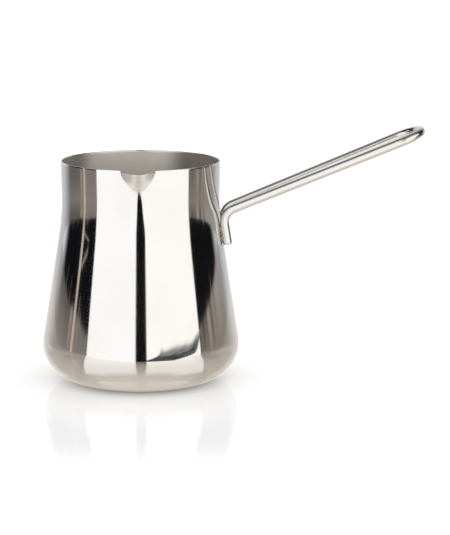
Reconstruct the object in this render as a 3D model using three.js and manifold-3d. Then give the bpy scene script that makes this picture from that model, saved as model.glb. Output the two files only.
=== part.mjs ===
// Stovetop coffee pot (cezve): a conical pot drawn from one sheet, with a pressed pouring lip at -Y
// and a hairpin handle bent from one rod, whose two legs are spot welded to the wall at +X.
// Units mm, +Z up, origin at the middle of the flat base.
import * as THREE from "three";
import { mergeVertices } from "three/addons/utils/BufferGeometryUtils.js";
import Module from "manifold-3d";

// ---- pot ----
const HEIGHT = 124.5; // base to rim
const SHEET = 0.8; // wall and base thickness
const BASE_R = 34.4; // flat part of the base
const CORNER_R = 21; // outside radius between base and wall
const CONE = THREE.MathUtils.degToRad(8.9); // lean of the wall, inwards going up
const NECK_Z = 83.5; // where the straight cone ends
const NECK_ARC_R = 130; // hollow curve from cone to neck
const FLARE = THREE.MathUtils.degToRad(1); // slight opening of the neck towards the rim

// ---- pouring lip ----
const LIP_AZIMUTH = THREE.MathUtils.degToRad(-91.3); // a little off square to the handle
const LIP_REACH = 6; // how far the rim is pushed out
const LIP_DIP = 1.7; // how far the pushed rim drops
const LIP_HALF_WIDTH = 8.8; // along the rim
const LIP_DEPTH = 11.6; // rim to the bottom of the pressing
const LIP_SOFT = 0.13; // softness of the pressing's border
const SWELL = 0.75; // faint swelling of the wall that the pressing leaves below the lip
const SWELL_HALF_WIDTH = 9;
const SWELL_LOW_Z = 88; // fades in upwards between these two heights
const SWELL_HIGH_Z = 110;

// ---- handle ----
const ROD_R = 2.5;
const LEG_GAP = 0.3; // seam between leg and wall, filled at the welds
const LEG_SPACING = 17; // between the rod's two centre lines, at the pot
const END_SPACING = 27; // and at the far end
const LEG_FOOT_Z = 78; // cut ends of the legs
const BEND_Z = 95.7; // where leg and arm would meet without the bend
const BEND_R = 8;
const ARM_RISE = 0.407; // rise per mm of run
const END_X = 156.8; // where the end bar would be without its bends
const END_BEND_R = 12.5;

// ---- welds ----
const WELD_R = 1.6;
const WELD_CLEAR = 0.08;
const WELD_HEIGHTS = { upper: 86.6, lower: 81.2 };

const v3 = (x, y, z) => new THREE.Vector3(x, y, z);
const v2 = (x, y) => new THREE.Vector2(x, y);

// Outline of the pot from the edge of the flat base up to the rim, moved inwards by `inset`.
function wallOutline(inset) {
  const points = [];
  const arcR = CORNER_R - inset;
  for (let i = 0; i <= 9; i++) {
    const a = -Math.PI / 2 + ((Math.PI / 2 + CONE) * i) / 9;
    points.push(v2(BASE_R + arcR * Math.cos(a), CORNER_R + arcR * Math.sin(a)));
  }
  const last = points[points.length - 1];
  const coneTop = NECK_Z - inset * Math.sin(CONE);
  for (let i = 1; i <= 2; i++) {
    const z = last.y + ((coneTop - last.y) * i) / 2;
    points.push(v2(last.x - Math.tan(CONE) * (z - last.y), z));
  }
  // the hollow arc, centred outside the pot
  const start = points[points.length - 1];
  const r = NECK_ARC_R + inset;
  const cx = start.x + r * Math.cos(CONE);
  const cz = start.y + r * Math.sin(CONE);
  for (let i = 1; i <= 4; i++) {
    const a = -CONE + ((CONE + FLARE) * i) / 4;
    points.push(v2(cx - r * Math.cos(a), cz + r * Math.sin(a)));
  }
  const neck = points[points.length - 1];
  const top = HEIGHT - SHEET / 2;
  for (let i = 1; i <= 9; i++) {
    const z = neck.y + ((top - neck.y) * i) / 9;
    points.push(v2(neck.x + Math.tan(FLARE) * (z - neck.y), z));
  }
  return points;
}

function potGeometry(grow = 0) {
  const outer = wallOutline(-grow);
  const inner = wallOutline(SHEET).reverse();
  const rim = outer[outer.length - 1].clone().lerp(inner[0], 0.5);
  const half = SHEET / 2;
  const profile = [
    v2(0, -grow),
    v2(BASE_R / 2, -grow),
    ...outer,
    v2(rim.x + half * 0.6, HEIGHT - half * 0.2),
    v2(rim.x, HEIGHT),
    v2(rim.x - half * 0.6, HEIGHT - half * 0.2),
    ...inner,
    v2(BASE_R / 2, SHEET),
    v2(0, SHEET),
  ];
  const geometry = new THREE.LatheGeometry(profile, 76);
  geometry.rotateX(Math.PI / 2);
  pressLip(geometry);
  return geometry;
}

// Pushes the wall out at the lip: a rounded wedge on the wall, sloping evenly out to the rim.
// The divisions of the rings are also drawn together there.
function pressLip(geometry) {
  const soft = (t) => LIP_SOFT * Math.log1p(Math.exp(t / LIP_SOFT));
  const power = (t) => (t * t + 0.04) ** 0.8 - 0.04 ** 0.8;
  const position = geometry.getAttribute("position");
  const p = v3(0, 0, 0);
  for (let i = 0; i < position.count; i++) {
    p.fromBufferAttribute(position, i);
    const r = Math.hypot(p.x, p.y);
    if (r < 1e-6) continue;
    const away = Math.atan2(p.y, p.x) - LIP_AZIMUTH;
    const wrapped = Math.atan2(Math.sin(away), Math.cos(away));
    const turn = wrapped - 0.62 * Math.sin(wrapped);
    const across = (r * turn) / LIP_HALF_WIDTH;
    const down = (HEIGHT - p.z) / LIP_DEPTH;
    const push = soft((1 - power(across) - power(down)) / (1 + down)) / soft(1);
    const rise = THREE.MathUtils.smoothstep(p.z, SWELL_LOW_Z, SWELL_HIGH_Z);
    const swell = SWELL * rise * Math.exp(-(((r * turn) / SWELL_HALF_WIDTH) ** 2));
    const radius = r + swell + (LIP_REACH - SWELL) * push;
    const azimuth = LIP_AZIMUTH + turn;
    position.setXYZ(i, radius * Math.cos(azimuth), radius * Math.sin(azimuth), p.z - LIP_DIP * push);
  }
  geometry.computeVertexNormals();
}

// Outside radius of the straight cone at height z.
function coneRadius(z) {
  return BASE_R + CORNER_R * Math.cos(CONE) - Math.tan(CONE) * (z - CORNER_R * (1 + Math.sin(CONE)));
}

// Centre line of a leg: it follows the wall. side is -1 for the near leg (-Y) and +1 for the far one.
const legAzimuth = Math.asin(LEG_SPACING / 2 / (coneRadius(BEND_Z) + LEG_GAP + ROD_R));
function legPoint(z, side) {
  const r = coneRadius(z) + (LEG_GAP + ROD_R) / Math.cos(CONE);
  return v3(r * Math.cos(legAzimuth), side * r * Math.sin(legAzimuth), z);
}

// Stations along a chain of straight runs whose corners are rounded with the given radii.
function roundedPath(corners, radii, arcSteps) {
  const stations = [corners[0].clone()];
  for (let i = 1; i < corners.length - 1; i++) {
    const back = corners[i - 1].clone().sub(corners[i]).normalize();
    const on = corners[i + 1].clone().sub(corners[i]).normalize();
    const halfAngle = back.angleTo(on) / 2;
    const radius = radii[i - 1];
    const reach = radius / Math.tan(halfAngle);
    const from = corners[i].clone().addScaledVector(back, reach);
    const to = corners[i].clone().addScaledVector(on, reach);
    const mid = back.clone().add(on).normalize();
    const centre = corners[i].clone().addScaledVector(mid, radius / Math.sin(halfAngle));
    const a = from.clone().sub(centre);
    const b = to.clone().sub(centre);
    const sweep = a.angleTo(b);
    for (let k = 0; k <= arcSteps; k++) {
      const t = (k / arcSteps) * sweep;
      const point = a.clone().multiplyScalar(Math.sin(sweep - t) / Math.sin(sweep));
      stations.push(point.addScaledVector(b, Math.sin(t) / Math.sin(sweep)).add(centre));
    }
  }
  stations.push(corners[corners.length - 1].clone());
  return stations;
}

// A curve that hands the stations to the sweep one by one, so the bends get most of the rings.
class StationCurve extends THREE.Curve {
  constructor(stations) {
    super();
    this.stations = stations;
  }
  getPointAt(u, target = v3(0, 0, 0)) {
    return target.copy(this.stations[Math.round(u * (this.stations.length - 1))]);
  }
  getTangentAt(u, target = v3(0, 0, 0)) {
    const s = this.stations;
    const i = Math.round(u * (s.length - 1));
    const before = s[Math.max(i - 1, 0)];
    const after = s[Math.min(i + 1, s.length - 1)];
    const d1 = s[i].clone().sub(before).normalize();
    const d2 = after.clone().sub(s[i]).normalize();
    return target.copy(d1.add(d2).normalize());
  }
  getPoint(u, target) {
    return this.getPointAt(u, target);
  }
}

function handlePath() {
  const mirror = (p) => v3(p.x, -p.y, p.z);
  const foot = legPoint(LEG_FOOT_Z, -1);
  const bend = legPoint(BEND_Z, -1);
  const end = v3(END_X, -END_SPACING / 2, bend.z + ARM_RISE * (END_X - bend.x));
  const corners = [foot, bend, end, mirror(end), mirror(bend), mirror(foot)];
  return roundedPath(corners, [BEND_R, END_BEND_R, END_BEND_R, BEND_R], 8);
}

function handleGeometry(grow = 0) {
  const stations = handlePath();
  const section = new THREE.Shape().absarc(0, 0, ROD_R + grow, 0, 2 * Math.PI);
  return new THREE.ExtrudeGeometry(section, {
    steps: stations.length - 1,
    curveSegments: 20,
    extrudePath: new StationCurve(stations),
  });
}

// ---- solids for the welds ----
const wasm = await Module();
wasm.setup();

function solid(geometry) {
  const bare = geometry.index ? geometry.toNonIndexed() : geometry.clone();
  bare.deleteAttribute("normal");
  bare.deleteAttribute("uv");
  const merged = mergeVertices(bare, 1e-3);
  return new wasm.Manifold(
    new wasm.Mesh({
      numProp: 3,
      vertProperties: merged.attributes.position.array,
      triVerts: new Uint32Array(merged.index.array),
    }),
  );
}

function geometryOf(manifold) {
  const mesh = manifold.getMesh();
  const geometry = new THREE.BufferGeometry();
  geometry.setAttribute("position", new THREE.BufferAttribute(new Float32Array(mesh.vertProperties), 3));
  geometry.setIndex(new THREE.BufferAttribute(new Uint32Array(mesh.triVerts), 1));
  geometry.computeVertexNormals();
  return geometry;
}

// A spot weld: what a round plug set square to the wall leaves between wall and leg.
function weldGeometry(z, side, keepOut) {
  const azimuth = side * legAzimuth;
  const out = v3(
    Math.cos(CONE) * Math.cos(azimuth),
    Math.cos(CONE) * Math.sin(azimuth),
    Math.sin(CONE),
  );
  const onWall = v3(coneRadius(z) * Math.cos(azimuth), coneRadius(z) * Math.sin(azimuth), z);
  const plug = new THREE.CylinderGeometry(WELD_R, WELD_R, 2, 24);
  plug.applyQuaternion(new THREE.Quaternion().setFromUnitVectors(v3(0, 1, 0), out));
  plug.translate(...onWall.addScaledVector(out, 0.5).toArray());
  return geometryOf(solid(plug).subtract(keepOut));
}

// ---- assembly ----
const steel = (color, roughness) =>
  new THREE.MeshStandardMaterial({ color, roughness, metalness: 1 });
const group = new THREE.Group();
group.name = "coffee_pot";

function add(name, geometry, material) {
  const mesh = new THREE.Mesh(geometry, material);
  mesh.name = name;
  group.add(mesh);
}

add("pot_body", potGeometry(), steel(0xc9c7c3, 0.12));
add("handle_rod", handleGeometry(), steel(0xc4c0b8, 0.22));

const keepOut = solid(potGeometry(WELD_CLEAR)).add(solid(handleGeometry(WELD_CLEAR)));
for (const [level, z] of Object.entries(WELD_HEIGHTS)) {
  add(`weld_near_${level}`, weldGeometry(z, -1, keepOut), steel(0x8d7f70, 0.45));
  add(`weld_far_${level}`, weldGeometry(z, 1, keepOut), steel(0x8d7f70, 0.45));
}

export default group;
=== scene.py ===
"""Polished steel coffee pot with a pressed lip and a welded hairpin handle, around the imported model.
In metres, +Z up, origin at the middle of the flat base, lip at -Y, handle at +X. The pieces' own
dimensions are in mm, as in the CAD source."""

import math

import bpy
import numpy as np
from mathutils import Euler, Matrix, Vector, noise


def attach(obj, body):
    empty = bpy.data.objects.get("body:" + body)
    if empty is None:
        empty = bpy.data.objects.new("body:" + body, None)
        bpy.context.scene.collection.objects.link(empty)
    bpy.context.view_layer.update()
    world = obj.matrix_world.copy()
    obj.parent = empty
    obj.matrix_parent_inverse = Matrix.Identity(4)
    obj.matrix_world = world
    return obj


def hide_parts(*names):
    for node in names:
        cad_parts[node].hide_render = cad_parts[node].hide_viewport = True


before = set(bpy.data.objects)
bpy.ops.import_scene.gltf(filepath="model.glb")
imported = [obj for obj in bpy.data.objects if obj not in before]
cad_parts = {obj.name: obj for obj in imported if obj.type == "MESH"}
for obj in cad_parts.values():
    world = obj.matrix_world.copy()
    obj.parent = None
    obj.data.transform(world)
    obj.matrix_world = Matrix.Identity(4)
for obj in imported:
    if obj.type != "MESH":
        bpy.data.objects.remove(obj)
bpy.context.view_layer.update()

MM = 0.001
DEG = 180 / math.pi

# ---- pot, as in the CAD source (mm) ----
HEIGHT, SHEET = 124.5, 0.8
BASE_R, CORNER_R = 34.4, 21.0
CONE = math.radians(8.9)
NECK_Z, NECK_ARC_R = 83.5, 130.0
FLARE = math.radians(1.0)
LIP_REACH, LIP_DIP = 6.0, 1.7
LIP_HALF_WIDTH, LIP_DEPTH, LIP_SOFT = 8.8, 11.6, 0.13
LIP_POWER, LIP_ROUND = 0.8, 0.04
LIP_AZIMUTH = math.radians(-91.3)
SWELL, SWELL_HALF_WIDTH = 0.75, 9.0
SWELL_LOW_Z, SWELL_HIGH_Z = 88.0, 110.0

# ---- handle, as in the CAD source (mm) ----
ROD_R, LEG_GAP = 2.5, 0.3
LEG_SPACING, END_SPACING = 17.0, 27.0
LEG_FOOT_Z, BEND_Z, BEND_R = 78.0, 95.7, 8.0
ARM_RISE, END_X, END_BEND_R = 0.407, 156.8, 12.5
WELD_HEIGHTS = {"upper": 86.6, "lower": 81.2}

# ---- fineness of the meshes ----
FOOT_STEPS, CONE_STEPS, NECK_STEPS, MOUTH_STEPS = 34, 36, 20, 34
INSIDE_FINENESS = 0.6
RIM_STEPS = 8
BASE_RINGS = (3.0, 9.0, 15.0, 21.0, 27.0, 31.5)
POT_SIDES = 288
ROD_SIDES, ROD_STEP, ROD_CHAMFER = 40, 1.6, 0.35
WELD_ROWS, WELD_SIDES = 18, 36
WELD_OUT, WELD_ACROSS, WELD_ALONG = 0.6, 1.3, 2.5
WELD_SHIFT, WELD_LUMPS = 0.3, 0.07


# ---------------------------------------------------------------- geometry
def spread(a, b, n):
    """n values from just after a up to b."""
    return [a + (b - a) * (i + 1) / n for i in range(n)]


def wall_outline(inset, fine):
    """(r, z) of the wall from the edge of the flat base to just under the rim, moved in by inset."""
    arc_r = CORNER_R - inset
    pts = []
    for a in [-math.pi / 2] + spread(-math.pi / 2, CONE, int(FOOT_STEPS * fine)):
        pts.append((BASE_R + arc_r * math.cos(a), CORNER_R + arc_r * math.sin(a)))
    r0, z0 = pts[-1]
    top = NECK_Z - inset * math.sin(CONE)
    for z in spread(z0, top, int(CONE_STEPS * fine)):
        pts.append((r0 - math.tan(CONE) * (z - z0), z))
    r0, z0 = pts[-1]
    arc = NECK_ARC_R + inset
    cx, cz = r0 + arc * math.cos(CONE), z0 + arc * math.sin(CONE)
    for a in spread(-CONE, FLARE, int(NECK_STEPS * fine)):
        pts.append((cx - arc * math.cos(a), cz + arc * math.sin(a)))
    r0, z0 = pts[-1]
    for z in spread(z0, HEIGHT - SHEET / 2, int(MOUTH_STEPS * fine)):
        pts.append((r0 + math.tan(FLARE) * (z - z0), z))
    return pts


def soft(t):
    """t where it is positive and 0 elsewhere, with the corner rounded."""
    return LIP_SOFT * np.logaddexp(0.0, t / LIP_SOFT)


def power(t):
    """Size of t to twice LIP_POWER, rounded near 0."""
    return (t * t + LIP_ROUND) ** LIP_POWER - LIP_ROUND**LIP_POWER


def make_mesh(name, verts_mm, faces):
    """Smooth-shaded object from points in mm."""
    me = bpy.data.meshes.new(name)
    me.from_pydata([tuple(v) for v in np.asarray(verts_mm) * MM], [], faces)
    me.update()
    me.polygons.foreach_set("use_smooth", [True] * len(me.polygons))
    ob = bpy.data.objects.new(name, me)
    bpy.context.scene.collection.objects.link(ob)
    return ob


def pot_section():
    """(r, z) of the whole sheet from the middle of the underside, over the rim, to the middle inside.
    Also says where the inside starts."""
    outer = wall_outline(0.0, 1.0)
    inner = wall_outline(SHEET, INSIDE_FINENESS)[::-1]
    half = SHEET / 2
    rim_r = (outer[-1][0] + inner[0][0]) / 2
    rim = [(rim_r + half * math.cos(a), HEIGHT - half + half * math.sin(a))
           for a in spread(0, math.pi, RIM_STEPS)[:-1]]
    underside = [(r, 0.0) for r in BASE_RINGS]
    inside_base = [(r, SHEET) for r in reversed(BASE_RINGS)]
    rows = np.array(underside + outer + rim + inner + inside_base)
    return rows, len(underside) + len(outer) + len(rim)


def pressed(rows):
    """The section turned round the axis, with the pouring lip and the swelling under it pressed out."""
    t = np.linspace(-math.pi, math.pi, POT_SIDES, endpoint=False)
    turn = (t - 0.5 * np.sin(t))[None, :]       # closer together at the lip
    r, z = rows[:, 0][:, None], rows[:, 1][:, None]
    around = r * turn
    down = (HEIGHT - z) / LIP_DEPTH
    push = soft((1 - power(around / LIP_HALF_WIDTH) - power(down)) / (1 + down)) / soft(1.0)
    rise = np.clip((z - SWELL_LOW_Z) / (SWELL_HIGH_Z - SWELL_LOW_Z), 0, 1)
    swell = SWELL * rise**2 * (3 - 2 * rise) * np.exp(-((around / SWELL_HALF_WIDTH) ** 2))
    radius = r + swell + (LIP_REACH - SWELL) * push
    azimuth = LIP_AZIMUTH + turn
    x, y = radius * np.cos(azimuth), radius * np.sin(azimuth)
    return np.stack([x, y, z - LIP_DIP * push], -1).reshape(-1, 3)


def tube_faces(n_rows, n_sides):
    """Four-sided faces between neighbouring rings of points."""
    faces = []
    for i in range(n_rows - 1):
        for j in range(n_sides):
            k = (j + 1) % n_sides
            faces.append((i * n_sides + j, i * n_sides + k, (i + 1) * n_sides + k, (i + 1) * n_sides + j))
    return faces


def make_pot():
    rows, inside_from = pot_section()
    verts = pressed(rows)
    walls = tube_faces(len(rows), POT_SIDES)
    last = (len(rows) - 1) * POT_SIDES
    bottom, floor = len(verts), len(verts) + 1
    verts = np.vstack([verts, [[0, 0, 0], [0, 0, SHEET]]])
    underside = [(bottom, (j + 1) % POT_SIDES, j) for j in range(POT_SIDES)]
    inside_base = [(floor, last + j, last + (j + 1) % POT_SIDES) for j in range(POT_SIDES)]
    ob = make_mesh("pot_shell", verts, walls + underside + inside_base)
    # material 0 outside, 1 inside
    ids = np.zeros(len(ob.data.polygons), dtype=np.int32)
    ids[inside_from * POT_SIDES:len(walls)] = 1
    ids[len(walls) + len(underside):] = 1
    ob.data.polygons.foreach_set("material_index", ids)
    return ob


def cone_radius(z):
    """Outer radius of the conical part of the wall."""
    return BASE_R + CORNER_R * math.cos(CONE) - math.tan(CONE) * (z - CORNER_R * (1 + math.sin(CONE)))


LEG_AZIMUTH = math.asin(LEG_SPACING / 2 / (cone_radius(BEND_Z) + LEG_GAP + ROD_R))


def leg_point(z, side):
    """A point of a leg's centre line. side is -1 for the near leg and 1 for the far one."""
    r = cone_radius(z) + (LEG_GAP + ROD_R) / math.cos(CONE)
    return np.array([r * math.cos(LEG_AZIMUTH), side * r * math.sin(LEG_AZIMUTH), z])


def unit(v):
    return v / np.linalg.norm(v)


def rounded_path(corners, radii, step):
    """Points along straight runs joined by arcs, about step apart."""
    out = []

    def run(a, b):
        n = max(1, int(np.linalg.norm(b - a) / step))
        out.extend(a + (b - a) * i / n for i in range(n))

    start = corners[0]
    for i in range(1, len(corners) - 1):
        back, on = unit(corners[i - 1] - corners[i]), unit(corners[i + 1] - corners[i])
        half = math.acos(np.clip(back @ on, -1, 1)) / 2
        radius = radii[i - 1]
        reach = radius / math.tan(half)
        a, b = corners[i] + back * reach, corners[i] + on * reach
        centre = corners[i] + unit(back + on) * radius / math.sin(half)
        run(start, a)
        u, w = a - centre, b - centre
        sweep = math.acos(np.clip(unit(u) @ unit(w), -1, 1))
        n = max(8, int(radius * sweep / (step * 0.35)))
        for k in range(n):
            s = sweep * k / n
            out.append(centre + (u * math.sin(sweep - s) + w * math.sin(s)) / math.sin(sweep))
        start = b
    run(start, corners[-1])
    out.append(corners[-1])
    return np.array(out)


def make_handle():
    """Round rod swept along the hairpin, with a small chamfer and a flat at each end."""
    flip = np.array([1.0, -1.0, 1.0])
    foot, bend = leg_point(LEG_FOOT_Z, -1), leg_point(BEND_Z, -1)
    end = np.array([END_X, -END_SPACING / 2, bend[2] + ARM_RISE * (END_X - bend[0])])
    path = rounded_path([foot, bend, end, end * flip, bend * flip, foot * flip],
                        [BEND_R, END_BEND_R, END_BEND_R, BEND_R], ROD_STEP)
    tangents = np.gradient(path, axis=0)
    tangents /= np.linalg.norm(tangents, axis=1)[:, None]
    normal = unit(np.cross(tangents[0], [0.0, 1.0, 0.0]))
    frames = []
    for point, tangent in zip(path, tangents):
        normal = unit(normal - tangent * (normal @ tangent))
        frames.append((point, tangent, normal, np.cross(tangent, normal)))
    angles = np.linspace(0, 2 * math.pi, ROD_SIDES, endpoint=False)
    cos, sin = np.cos(angles)[:, None], np.sin(angles)[:, None]

    def section(place, radius, shift=0.0):
        point, tangent, n, b = place
        return point + tangent * shift + radius * (cos * n + sin * b)

    # the rings at each end: (radius, distance from the end)
    end_rings = ((ROD_R * 0.45, 0.0), (ROD_R - ROD_CHAMFER, 0.0),
                 (ROD_R - ROD_CHAMFER * 0.3, ROD_CHAMFER * 0.3), (ROD_R, ROD_CHAMFER))
    sections = [section(frames[0], radius, shift) for radius, shift in end_rings]
    sections += [section(place, ROD_R) for place in frames[1:-1]]
    sections += [section(frames[-1], radius, -shift) for radius, shift in reversed(end_rings)]
    verts = np.vstack(sections + [path[:1], path[-1:]])
    faces = tube_faces(len(sections), ROD_SIDES)
    last = (len(sections) - 1) * ROD_SIDES
    near_end, far_end = last + ROD_SIDES, last + ROD_SIDES + 1
    for j in range(ROD_SIDES):
        k = (j + 1) % ROD_SIDES
        faces.append((near_end, k, j))
        faces.append((far_end, last + j, last + k))
    return make_mesh("handle_wire", verts, faces)


def make_weld(name, z, side):
    """A lumpy lens of fused metal in the seam between leg and wall."""
    cos, sin = math.cos(LEG_AZIMUTH), math.sin(LEG_AZIMUTH)
    out = np.array([math.cos(CONE) * cos, side * math.cos(CONE) * sin, math.sin(CONE)])
    across = np.array([-side * sin, cos, 0.0])
    along = np.cross(out, across)
    centre = np.array([cone_radius(z) * cos, side * cone_radius(z) * sin, z]) + out * WELD_SHIFT
    verts = []
    for i in range(WELD_ROWS + 1):
        lat = math.pi * i / WELD_ROWS - math.pi / 2
        for j in range(WELD_SIDES):
            lon = 2 * math.pi * j / WELD_SIDES
            u = np.array([math.sin(lat), math.cos(lat) * math.cos(lon), math.cos(lat) * math.sin(lon)])
            # z and side are in it, so that each weld has its own lumps
            lump = 1 + WELD_LUMPS * noise.noise(Vector(u * 1.7 + side * 3.1 + z))
            verts.append(centre + lump * (WELD_OUT * u[0] * out + WELD_ACROSS * u[1] * across
                                          + WELD_ALONG * u[2] * along))
    return make_mesh(name, verts, tube_faces(WELD_ROWS + 1, WELD_SIDES))


# ---------------------------------------------------------------- node helpers
class Tree:
    """Short names for building a node tree."""

    def __init__(self, tree):
        self.tree = tree
        tree.nodes.clear()

    def node(self, kind, **props):
        n = self.tree.nodes.new(kind)
        for key, value in props.items():
            setattr(n, key, value)
        return n

    def put(self, socket, value):
        """Link another socket into this one, or set a plain number or colour."""
        if isinstance(value, bpy.types.NodeSocket):
            self.tree.links.new(value, socket)
        else:
            socket.default_value = value

    def math(self, op, a, b=None):
        n = self.node("ShaderNodeMath", operation=op)
        self.put(n.inputs[0], a)
        if b is not None:
            self.put(n.inputs[1], b)
        return n.outputs[0]

    def plus(self, a, b):
        return self.math("ADD", a, b)

    def minus(self, a, b):
        return self.math("SUBTRACT", a, b)

    def times(self, first, *others):
        for value in others:
            first = self.math("MULTIPLY", first, value)
        return first

    def step(self, value, lo, hi):
        """0 below lo, 1 above hi, smooth between. hi may be under lo, for the reverse."""
        n = self.node("ShaderNodeMapRange", interpolation_type="SMOOTHSTEP")
        self.put(n.inputs["Value"], value)
        n.inputs["From Min"].default_value = min(lo, hi)
        n.inputs["From Max"].default_value = max(lo, hi)
        n.inputs["To Min"].default_value = 0.0 if hi > lo else 1.0
        n.inputs["To Max"].default_value = 1.0 if hi > lo else 0.0
        return n.outputs[0]

    def between(self, value, lo, hi, edge):
        """1 from lo to hi, with soft edges reaching edge to both sides."""
        return self.times(self.step(value, lo - edge, lo + edge), self.step(value, hi + edge, hi - edge))

    def remap(self, value, lo, hi, to_lo, to_hi):
        n = self.node("ShaderNodeMapRange")
        self.put(n.inputs["Value"], value)
        for key, v in zip(("From Min", "From Max", "To Min", "To Max"), (lo, hi, to_lo, to_hi)):
            n.inputs[key].default_value = v
        return n.outputs[0]

    def curve(self, value, points):
        """Smooth curve through (value, result) points, from 0 to 1."""
        n = self.node("ShaderNodeFloatCurve")
        line = n.mapping.curves[0]
        line.points[0].location = points[0]
        line.points[1].location = points[-1]
        for where, amount in points[1:-1]:
            line.points.new(where, amount)
        n.mapping.update()
        self.put(n.inputs["Value"], value)
        return n.outputs[0]

    def mix(self, fac, a, b):
        n = self.node("ShaderNodeMix", data_type="RGBA")
        self.put(n.inputs[0], fac)
        self.put(n.inputs[6], a)
        self.put(n.inputs[7], b)
        return n.outputs[2]

    def noise(self, vector, scale, detail, rough):
        n = self.node("ShaderNodeTexNoise")
        self.put(n.inputs["Vector"], vector)
        n.inputs["Scale"].default_value = scale
        n.inputs["Detail"].default_value = detail
        n.inputs["Roughness"].default_value = rough
        return n.outputs["Fac"]

    def scaled(self, vector, scale, rotation):
        n = self.node("ShaderNodeMapping")
        self.put(n.inputs["Vector"], vector)
        n.inputs["Scale"].default_value = scale
        n.inputs["Rotation"].default_value = rotation
        return n.outputs[0]

    def combine(self, x, y, z):
        n = self.node("ShaderNodeCombineXYZ")
        for socket, value in zip(n.inputs, (x, y, z)):
            self.put(socket, value)
        return n.outputs[0]

    def split(self, vector):
        n = self.node("ShaderNodeSeparateXYZ")
        self.put(n.inputs[0], vector)
        return n.outputs

    def radius(self, x, y):
        return self.math("SQRT", self.plus(self.times(x, x), self.times(y, y)))

    def azimuth(self, x, y):
        """Degrees round the pot, 0 to the front and growing to the right."""
        return self.times(self.math("ARCTAN2", x, self.times(y, -1.0)), DEG)

    def coordinates(self, kind):
        return self.node("ShaderNodeTexCoord").outputs[kind]

    def facing(self):
        """0 looking straight at the surface, 1 along it."""
        return self.node("ShaderNodeLayerWeight").outputs["Facing"]

    def steel_view(self):
        """1 where something is seen in a reflection, 0 where it is seen directly."""
        return self.node("ShaderNodeLightPath").outputs["Is Glossy Ray"]

    def mirrored_twice(self):
        """1 for what is seen in a reflection of a reflection, such as by way of the table top, else 0."""
        return self.math("GREATER_THAN", self.node("ShaderNodeLightPath").outputs["Glossy Depth"], 1.5)

    def glow(self, colour, strength=1.0):
        n = self.node("ShaderNodeEmission")
        self.put(n.inputs["Color"], colour)
        self.put(n.inputs["Strength"], strength)
        return n.outputs[0]

    def gloss(self, colour, rough):
        n = self.node("ShaderNodeBsdfGlossy")
        n.inputs["Color"].default_value = colour
        n.inputs["Roughness"].default_value = rough
        return n.outputs[0]

    def clear(self):
        return self.node("ShaderNodeBsdfTransparent").outputs[0]

    def blend(self, fac, a, b):
        """Shader a where fac is 0 and shader b where it is 1."""
        n = self.node("ShaderNodeMixShader")
        for socket, value in zip(n.inputs, (fac, a, b)):
            self.put(socket, value)
        return n.outputs[0]

    def surface(self, shader):
        self.put(self.node("ShaderNodeOutputMaterial").inputs["Surface"], shader)


def rgb(r, g, b):
    return (r, g, b, 1.0)


# ---------------------------------------------------------------- materials
def metal(name, build):
    mat = bpy.data.materials.new(name)
    mat.use_nodes = True
    t = Tree(mat.node_tree)
    bsdf = t.node("ShaderNodeBsdfPrincipled")
    bsdf.inputs["Metallic"].default_value = 1.0
    t.surface(bsdf.outputs[0])
    build(t, bsdf, t.coordinates("Object"))
    return mat


def bump(t, bsdf, height, distance, strength=1.0):
    n = t.node("ShaderNodeBump")
    n.inputs["Strength"].default_value = strength
    n.inputs["Distance"].default_value = distance
    t.put(n.inputs["Height"], height)
    t.put(bsdf.inputs["Normal"], n.outputs[0])


def varied(t, noise_value, low, high):
    """Spread the usual range of a noise from low to high."""
    return t.remap(noise_value, 0.3, 0.7, low, high)


def polished(t, bsdf, obj):
    """Mirror polish with very fine marks that run round the pot."""
    x, y, z = t.split(obj)
    lines = t.noise(t.combine(t.times(x, 18.0), t.times(y, 18.0), t.times(z, 2600.0)), 1.0, 3.0, 0.6)
    patches = t.noise(obj, 32.0, 3.0, 0.55)
    t.put(bsdf.inputs["Base Color"], t.mix(t.step(patches, 0.3, 0.7), rgb(0.665, 0.650, 0.630),
                                           rgb(0.640, 0.622, 0.598)))
    rough = t.plus(varied(t, lines, 0.035, 0.075), varied(t, patches, 0.0, 0.02))
    # the pressed lip stands out past the mouth's radius; it is not polished again, so it is softer
    lip = t.times(t.step(t.radius(x, y), 0.0446, 0.0464), t.step(z, 0.106, 0.114))
    t.put(bsdf.inputs["Roughness"], t.plus(rough, t.times(lip, 0.20)))
    bump(t, bsdf, lines, 0.0000006)


def satin(t, bsdf, obj):
    """Brushed inside, with rings, and painted shade that darkens the left and right walls."""
    x, y, z = t.split(obj)
    up_and_out = t.plus(z, t.radius(x, y))
    rings = t.combine(t.times(x, 25.0), t.times(y, 25.0), t.times(up_and_out, 1500.0))
    lines = t.noise(rings, 1.0, 4.0, 0.65)
    patches = t.noise(obj, 45.0, 4.0, 0.6)
    bsdf.inputs["Metallic"].default_value = 0.55
    satin_colour = t.mix(patches, rgb(0.86, 0.81, 0.74), rgb(0.75, 0.705, 0.64))
    # painted shade: the left and right walls get this darker colour by their position
    painted_shade_colour = t.mix(patches, rgb(0.30, 0.27, 0.25), rgb(0.24, 0.215, 0.20))
    sides = t.math("MAXIMUM", t.step(x, 0.012, 0.026), t.step(x, -0.026, -0.037))
    t.put(bsdf.inputs["Base Color"], t.mix(t.times(sides, 0.9), satin_colour, painted_shade_colour))
    t.put(bsdf.inputs["Roughness"], t.plus(varied(t, lines, 0.26, 0.38), varied(t, patches, 0.0, 0.06)))
    bump(t, bsdf, lines, 0.00001, 0.5)


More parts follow.
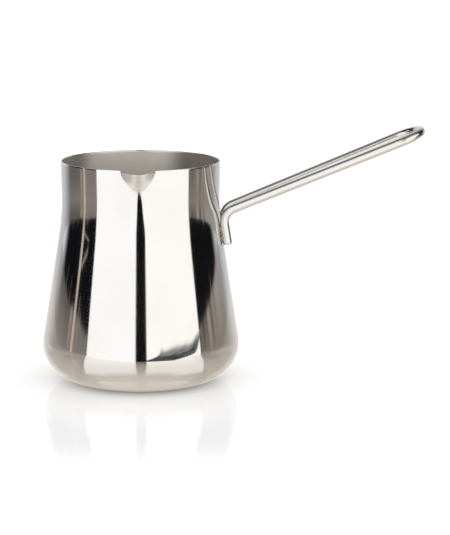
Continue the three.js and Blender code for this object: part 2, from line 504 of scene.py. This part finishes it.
def rod_steel(t, bsdf, obj):
    """Drawn rod, with marks along the arms."""
    tilt = math.atan(ARM_RISE)
    along = t.scaled(obj, (40.0, 1500.0, 1500.0), (0.0, tilt, 0.0))
    lines = t.noise(along, 1.0, 3.0, 0.6)
    patches = t.noise(obj, 120.0, 3.0, 0.55)
    t.put(bsdf.inputs["Base Color"], t.mix(patches, rgb(0.645, 0.63, 0.61), rgb(0.60, 0.58, 0.555)))
    t.put(bsdf.inputs["Roughness"], t.plus(varied(t, lines, 0.12, 0.22), varied(t, patches, 0.0, 0.05)))
    bump(t, bsdf, lines, 0.000004, 0.6)


def weld_steel(t, bsdf, obj):
    """Fused metal, tinted by the heat."""
    spots = t.noise(obj, 900.0, 4.0, 0.6)
    t.put(bsdf.inputs["Base Color"], t.mix(spots, rgb(0.34, 0.28, 0.22), rgb(0.50, 0.47, 0.43)))
    t.put(bsdf.inputs["Roughness"], varied(t, spots, 0.30, 0.55))
    bump(t, bsdf, spots, 0.00008, 0.7)


# ---------------------------------------------------------------- the pieces
pot = make_pot()
pot.data.materials.append(metal("polished_outside", polished))
pot.data.materials.append(metal("satin_inside", satin))
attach(pot, "root")
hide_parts("pot_body")

handle = make_handle()
handle.data.materials.append(metal("handle_steel", rod_steel))
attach(handle, "root")
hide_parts("handle_rod")

weld_look = metal("weld_steel", weld_steel)
for level, z in WELD_HEIGHTS.items():
    for word, side in (("near", -1), ("far", 1)):
        weld = make_weld(f"spot_weld_{word}_{level}", z, side)
        weld.data.materials.append(weld_look)
        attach(weld, "root")
        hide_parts(f"weld_{word}_{level}")


# ---------------------------------------------------------------- studio
# Azimuths are in degrees round the pot, 0 to the front and growing to the right. Elevations are in
# degrees above the horizon. The cards are seen only in reflections, so their colours are plain glows.
PANEL_LEFT, PANEL_RIGHT = rgb(1.46, 1.48, 1.50), rgb(1.50, 1.49, 1.46)
# painted reflection: a glow that the table top shows in place of mirroring the panels' lower ends
PANEL_PAINTED_REFLECTION = rgb(1.46, 1.45, 1.44)      # the panels' lower ends, as the table top shows them
PANEL_GAP, PANEL_LEFT_END, PANEL_RIGHT_END = 6.4, -66.0, 73.5
TABLE_EDGE = -0.155                         # y of the table's front edge, as the steel sees it
TABLE_DROP = 0.00005                        # the table top is this far under the base, so they don't touch
SIDE_CARD_R, SIDE_STRIP_R, FRONT_SHAPE_R = 0.55, 0.50, 0.165
CARD_LOW, SIDE_CARD_HIGH, SIDE_STRIP_HIGH = -0.06, 0.11, 0.55


def make_world():
    """White studio: plain white seen directly and as light, lit panels with dark gaps in reflections."""
    world = bpy.data.worlds.new("studio")
    bpy.context.scene.world = world
    world.use_nodes = True
    t = Tree(world.node_tree)
    x, y, z = t.split(t.coordinates("Generated"))
    az = t.azimuth(x, y)
    el = t.times(t.math("ARCSINE", z), DEG)

    def add(base, patches):
        """Patches over a base colour: colour, azimuths, elevations, softness of the sides and the ends."""
        for colour, (left, right), (low, high), side_edge, end_edge in patches:
            inside = t.times(t.between(az, left, right, side_edge), t.between(el, low, high, end_edge))
            base = t.mix(inside, base, colour)
        return base

    sky = add(rgb(0.006, 0.006, 0.008), (
        # backdrop behind the pot
        (rgb(0.80, 0.79, 0.78), (124.0, 200.0), (-60.0, 12.0), 8.0, 6.0),
        (rgb(0.86, 0.90, 0.97), (-200.0, -128.0), (-60.0, 12.0), 8.0, 6.0),
        # front panels
        (PANEL_LEFT, (PANEL_LEFT_END, -PANEL_GAP), (-48.0, 64.0), 0.6, 9.0),
        (PANEL_RIGHT, (PANEL_GAP, PANEL_RIGHT_END), (-48.0, 64.0), 0.6, 9.0),
        # grey behind, higher up
        (rgb(0.62, 0.62, 0.64), (140.0, 200.0), (6.0, 70.0), 8.0, 3.0),
        (rgb(0.72, 0.75, 0.80), (-200.0, -146.0), (6.0, 70.0), 8.0, 3.0),
        # a lighter band behind, which the table top also mirrors to the camera
        (rgb(1.0, 1.0, 1.01), (162.0, 200.0), (9.0, 24.0), 3.0, 2.0),
        (rgb(1.0, 1.0, 1.01), (-200.0, -167.0), (9.0, 24.0), 3.0, 2.0),
    ))
    # the panels reach further round higher up, where the rim and the handle look, but not in the table top
    wide = add(sky, (
        (rgb(0.90, 0.89, 0.88), (-97.0, PANEL_LEFT_END), (10.0, 30.0), 3.0, 3.0),
        (rgb(1.35, 1.33, 1.30), (PANEL_RIGHT_END, 89.0), (10.0, 42.0), 3.0, 3.0),
    ))
    sky = t.mix(t.mirrored_twice(), wide, sky)
    # dim ceiling, and the studio floor beyond the table
    sky = t.mix(t.step(el, 42.0, 64.0), sky, rgb(0.24, 0.225, 0.21))
    sky = t.mix(t.step(el, -28.0, -40.0), sky, rgb(0.85, 0.82, 0.77))

    plain = t.node("ShaderNodeBackground")
    plain.inputs["Color"].default_value = rgb(1.0, 1.0, 1.0)
    # a little stronger from the right
    t.put(plain.inputs["Strength"], t.plus(1.10, t.times(x, 0.10)))
    studio = t.node("ShaderNodeBackground")
    t.put(studio.inputs["Color"], sky)
    out = t.node("ShaderNodeOutputWorld")
    t.put(out.inputs["Surface"], t.blend(t.steel_view(), plain.outputs[0], studio.outputs[0]))


def stage_mesh(name, verts, faces):
    """Object of the stage with its own empty material, and its coordinates (x, y, z, radius, azimuth)."""
    me = bpy.data.meshes.new(name)
    me.from_pydata(verts, [], faces)
    ob = bpy.data.objects.new(name, me)
    bpy.context.scene.collection.objects.link(ob)
    mat = bpy.data.materials.new(name)
    mat.use_nodes = True
    me.materials.append(mat)
    t = Tree(mat.node_tree)
    x, y, z = t.split(t.coordinates("Object"))
    return ob, t, (x, y, z, t.radius(x, y), t.azimuth(x, y))


def table_seen_directly(t, r, az):
    """White, with the pot's contact shadow and a faint reflection that dies away."""
    paint = t.node("ShaderNodeBsdfDiffuse")
    paint.inputs["Color"].default_value = rgb(0.76, 0.76, 0.76)
    # a glow lightens the shadow, more and more away from the base
    fill = t.plus(t.times(t.step(r, 0.036, 0.054), 0.21), 0.12)
    fill = t.plus(fill, t.times(t.step(r, 0.050, 0.080), 0.05))
    lit = t.node("ShaderNodeAddShader")
    t.put(lit.inputs[0], paint.outputs[0])
    t.put(lit.inputs[1], t.glow(rgb(1.0, 1.0, 1.0), fill))
    # the reflection reaches further in front than at the sides and behind
    front = t.step(t.math("ABSOLUTE", az), 90.0, 55.0)
    reach = t.mix(front, t.step(r, 0.150, 0.080), t.step(r, 0.240, 0.145))
    low_view = t.step(t.facing(), 0.55, 0.68)
    return t.blend(t.times(reach, low_view, 0.25), lit.outputs[0], t.gloss(rgb(0.8, 0.8, 0.8), 0.08))


def table_seen_in_steel(t, x, y, r, az):
    """Warm white glow from above in place of the lit table, a painted light with a painted contact shadow
    near the base, and more and more a mirror towards a low angle.
    """
    # painted light and shadow: the table glows instead of being lit, dimmer near the base as a painted
    # contact shadow
    painted_warm_light = t.glow(rgb(1.0, 0.93, 0.84), t.plus(t.times(t.step(r, 0.034, 0.044), 0.66), 0.32))
    # to the left and right of the front a painted reflection of the panels' lower ends, which stand near,
    # glows in place of the mirror
    left_line = t.minus(y, t.times(x, 0.47))
    left = t.times(t.step(left_line, -0.022, -0.026), t.step(az, -20.0, -35.0))
    right_line = t.plus(y, t.times(x, 0.36))
    right = t.times(t.step(right_line, -0.020, -0.024), t.step(az, 20.0, 35.0))
    painted_panel_ends = t.times(t.math("MAXIMUM", left, right), t.step(r, 0.056, 0.064))
    mirror_and_painted_reflection = t.blend(painted_panel_ends, t.gloss(rgb(1.0, 1.0, 1.0), 0.06), t.glow(PANEL_PAINTED_REFLECTION))
    # how much of a mirror it is, by viewing angle, and less so to the sides
    facing = t.facing()
    amount = t.curve(facing, ((0.0, 0.08), (0.17, 0.26), (0.41, 0.42), (0.61, 0.55), (0.71, 0.68),
                              (0.81, 0.80), (1.0, 0.97)))
    away = t.math("ABSOLUTE", az)
    sideways = t.plus(t.times(t.step(away, 50.0, 58.0), 0.3), t.times(t.step(away, 72.0, 92.0), 0.2))
    sideways = t.times(sideways, t.step(facing, 1.0, 0.80))
    return t.blend(t.times(amount, t.minus(1.0, sideways)), painted_warm_light, mirror_and_painted_reflection)


def make_table():
    """Pale glossy table top. It fades into the white studio away from the pot, so that no edge shows."""
    rings = (0.06, 0.12, 0.2, 0.4, 0.8, 1.6)
    sides = 64
    verts = [(0, 0, 0)]
    for r in rings:
        verts += [(r * math.cos(2 * math.pi * j / sides), r * math.sin(2 * math.pi * j / sides), 0.0)
                  for j in range(sides)]
    faces = []
    for j in range(sides):
        k = (j + 1) % sides
        faces.append((0, 1 + j, 1 + k))
        for i in range(len(rings) - 1):
            a, b = 1 + i * sides, 1 + (i + 1) * sides
            faces.append((a + j, b + j, b + k, a + k))
    table, t, (x, y, z, r, az) = stage_mesh("table_top", verts, faces)
    table.location.z = -TABLE_DROP
    steel_view = t.steel_view()
    look = t.blend(steel_view, table_seen_directly(t, r, az), table_seen_in_steel(t, x, y, r, az))
    past_front = t.times(steel_view, t.step(y, TABLE_EDGE, TABLE_EDGE - 0.01))
    t.surface(t.blend(t.math("MAXIMUM", past_front, t.step(r, 0.7, 1.5)), look, t.clear()))


def only_reflected(card):
    """Take a card away from everything but reflections."""
    card.visible_camera = False
    card.visible_diffuse = False
    card.visible_shadow = False


def bent_card(name, radius, az_lo, az_hi, low_edge, high, steps):
    """Upright card bent round the pot, its nodes, and its height and azimuth in them.
    low_edge gives the height of the lower edge at an azimuth."""
    verts, faces = [], []
    rows = 6
    for i in range(steps + 1):
        az = az_lo + (az_hi - az_lo) * i / steps
        low = low_edge(az)
        for j in range(rows + 1):
            z = low + (high - low) * j / rows
            verts.append((radius * math.sin(az / DEG), -radius * math.cos(az / DEG), z))
    for i in range(steps):
        for j in range(rows):
            a, b = i * (rows + 1) + j, (i + 1) * (rows + 1) + j
            faces.append((a, b, b + 1, a + 1))
    card, t, (_, _, z, _, az) = stage_mesh(name, verts, faces)
    only_reflected(card)
    return t, z, az


def straight(az):
    """Lower edge of the cards that reach down past the table top."""
    return CARD_LOW


def finish_card(t, colour, alpha):
    t.surface(t.blend(alpha, t.clear(), t.glow(colour)))


def make_side_card():
    """Low brownish clutter round the sides and back of the table, with a ragged upper edge."""
    t, z, az = bent_card("side_card", SIDE_CARD_R, 71.5, 296.2, straight, SIDE_CARD_HIGH, 120)
    streaks = t.noise(t.combine(t.times(az, 0.22), 7.3, t.times(z, 5.0)), 1.0, 3.0, 0.6)
    brown = t.mix(t.step(streaks, 0.32, 0.70), rgb(0.15, 0.13, 0.115), rgb(0.46, 0.41, 0.365))
    # plainer at the left corner, darker further left, lighter on the right
    corner = t.times(t.step(az, -83.0, -80.0), t.step(az, 0.0, -30.0))
    brown = t.mix(t.times(corner, 0.85), brown, rgb(0.29, 0.255, 0.235))
    left = t.times(t.step(az, -92.0, -98.0), t.step(az, -128.0, -118.0))
    brown = t.mix(left, brown, rgb(0.155, 0.14, 0.13))
    right = t.times(t.step(az, 98.0, 106.0), t.step(az, 128.0, 116.0))
    brown = t.mix(right, brown, rgb(0.44, 0.40, 0.375))
    # one colour near the table top, and greys to white behind the pot
    brown = t.mix(t.step(z, 0.050, 0.000), brown, rgb(0.34, 0.305, 0.28))
    away = t.math("ABSOLUTE", az)
    colour = t.mix(t.step(away, 116.0, 144.0), brown, rgb(0.70, 0.73, 0.78))
    colour = t.mix(t.step(away, 150.0, 174.0), colour, rgb(1.04, 1.07, 1.12))
    spikes = t.noise(t.combine(t.times(az, 0.55), 1.7, 0.0), 1.0, 2.0, 0.6)
    ragged = t.minus(z, t.times(t.step(spikes, 0.58, 0.74), 0.022))
    ragged = t.plus(ragged, t.times(t.step(az, -82.0, -100.0), 0.009))
    # by way of the table top its upper edge is soft
    alpha = t.mix(t.mirrored_twice(), t.step(ragged, 0.060, 0.053), t.step(z, 0.110, 0.030))
    finish_card(t, colour, alpha)


def make_side_strip():
    """Narrow cream light to the left, in front of the side card, with a thin branch."""
    left, right, edge = -87.4, -82.6, 1.4
    t, z, az = bent_card("side_strip", SIDE_STRIP_R, left, -74.0, straight, SIDE_STRIP_HIGH, 16)
    strip = t.times(t.step(az, left, left + edge), t.step(az, right, right - edge))
    # the branch leaves the strip at a height and leans to the right from there, in degrees per metre
    # the pot's neck mirrors it as a loop
    branch_z, lean = 0.086, 430.0
    middle = t.plus(t.times(t.minus(z, branch_z), lean), (left + right) / 2)
    off_branch = t.math("ABSOLUTE", t.minus(az, middle))
    branch = t.times(t.step(off_branch, 1.3, 0.6), t.step(z, branch_z - 0.002, branch_z + 0.004), 0.6)
    # fainter by way of the table top
    alpha = t.times(t.math("MAXIMUM", strip, branch), t.minus(1.0, t.times(t.mirrored_twice(), 0.7)))
    shade = t.noise(t.combine(1.0, 2.0, t.times(z, 9.0)), 1.0, 2.0, 0.5)
    finish_card(t, t.mix(t.step(shade, 0.35, 0.65), rgb(0.92, 0.80, 0.69), rgb(0.62, 0.53, 0.45)), alpha)


def make_front_shape():
    """Dark soft shape lying at the table's front edge, to the right."""
    def low_edge(az):
        """Level at first, then climbing to the right."""
        return -0.006 + 0.045 * max(0.0, (az - 24.0) / 40.0) ** 1.25

    t, z, az = bent_card("front_shape", FRONT_SHAPE_R, 5.0, 71.0, low_edge, 0.050, 48)
    # the grain runs up to the right
    slant = t.minus(t.times(z, 300.0), t.times(az, 0.10))
    grain = t.noise(t.combine(slant, t.times(az, 0.05), 2.0), 1.0, 4.0, 0.6)
    # nearly black below, grey above
    height = t.plus(t.minus(z, t.times(az, 0.00015)), varied(t, grain, -0.004, 0.004))
    body = t.mix(t.step(height, 0.024, 0.031), rgb(0.05, 0.055, 0.06), rgb(0.36, 0.35, 0.34))
    colour = t.mix(t.times(t.step(grain, 0.44, 0.62), 0.5), body, rgb(0.40, 0.42, 0.43))
    # the left end climbs steeply out of the dark gap, and the right end tapers up to a tip
    ragged = t.plus(z, varied(t, grain, -0.0012, 0.0012))
    start = t.times(t.math("MAXIMUM", t.minus(19.0, az), 0.0), 0.0022)
    tip = t.times(t.math("MAXIMUM", t.minus(az, 54.0), 0.0), 0.0004)
    top = t.step(t.plus(t.minus(ragged, tip), start), 0.0382, 0.0350)
    alpha = t.times(top, t.step(az, 71.0, 65.0))
    # only from the pot's side and nearly square on, so that the table and the handle don't pick it up
    alpha = t.times(alpha, t.minus(1.0, t.mirrored_twice()), t.step(t.facing(), 0.16, 0.08))
    alpha = t.times(alpha, t.node("ShaderNodeNewGeometry").outputs["Backfacing"])
    finish_card(t, colour, alpha)


def make_handle_card():
    """Plain bright card to the right, so that the handle does not reflect the gap between the panels."""
    xs, zs, y = (0.026, 0.08, 0.14, 0.21), (-0.02, 0.05, 0.12, 0.20), -0.25
    verts = [(x, y, z) for x in xs for z in zs]
    faces = [(4 * i + j, 4 * i + j + 4, 4 * i + j + 5, 4 * i + j + 1) for i in range(3) for j in range(3)]
    card, t, _ = stage_mesh("handle_card", verts, faces)
    only_reflected(card)
    finish_card(t, PANEL_RIGHT, 1.0)


def make_camera():
    """Long lens 1.2 m in front of the pot, looking down on it by 10 degrees."""
    turn, pitch, roll = 2.0 / DEG, 10.26 / DEG, 0.2 / DEG
    distance, side, height = 1.2223, 0.04745, 0.28474
    cam = bpy.data.cameras.new("camera")
    cam.sensor_fit = "AUTO"
    cam.sensor_width = 36.0
    cam.lens = 148.04
    cam.clip_start, cam.clip_end = 0.01, 50.0
    ob = bpy.data.objects.new("camera", cam)
    bpy.context.scene.collection.objects.link(ob)
    ob.location = (side * math.cos(turn) - distance * math.sin(turn),
                   -side * math.sin(turn) - distance * math.cos(turn), height)
    aim = Euler((math.pi / 2 - pitch, 0.0, -turn), "XYZ").to_matrix() @ Euler((0.0, 0.0, roll)).to_matrix()
    ob.rotation_euler = aim.to_euler("XYZ")
    bpy.context.scene.camera = ob


make_world()
make_table()
make_side_card()
make_side_strip()
make_front_shape()
make_handle_card()
make_camera()

view = bpy.context.scene.view_settings
view.view_transform = "Standard"
view.look = "None"
view.exposure = 0.0
view.gamma = 1.0
